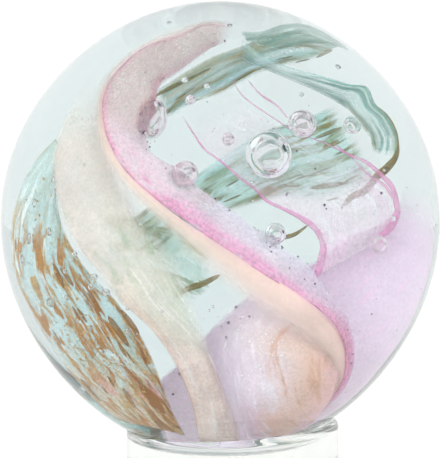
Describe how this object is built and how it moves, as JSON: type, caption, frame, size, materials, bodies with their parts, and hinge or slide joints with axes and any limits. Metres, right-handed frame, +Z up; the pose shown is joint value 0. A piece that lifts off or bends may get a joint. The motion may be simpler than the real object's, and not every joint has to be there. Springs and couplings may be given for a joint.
{
  "type": "glass paperweight",
  "caption": "Solid glass ball with air bubbles and coloured veils inside, resting in the shallow dish of a short clear glass puck.",
  "frame": {"origin": "on the surface it stands on, centred under the ball", "axes": "+Z up along the ball's axis, +X to the right as seen from the front, +Y to the back"},
  "size_m": [0.0796, 0.0796, 0.0903],
  "materials": {
    "clear_glass": "clear fire-polished soda-lime glass",
    "stand_glass": "clear moulded glass",
    "rose_glass": "rose veil fused inside the ball",
    "peach_glass": "peach veil fused inside the ball",
    "cream_glass": "cream veil fused inside the ball",
    "lilac_glass": "lilac veil fused inside the ball",
    "teal_glass": "teal streaks fused inside the ball",
    "olive_glass": "olive-brown streaks fused inside the ball",
    "copper_glass": "aventurine band with copper flakes fused inside the ball",
    "copper_flake": "bright copper flakes"
  },
  "bodies": {
    "root": {"glass_ball": "clear_glass", "glass_stand": "stand_glass"}
  },
  "joints": []
}
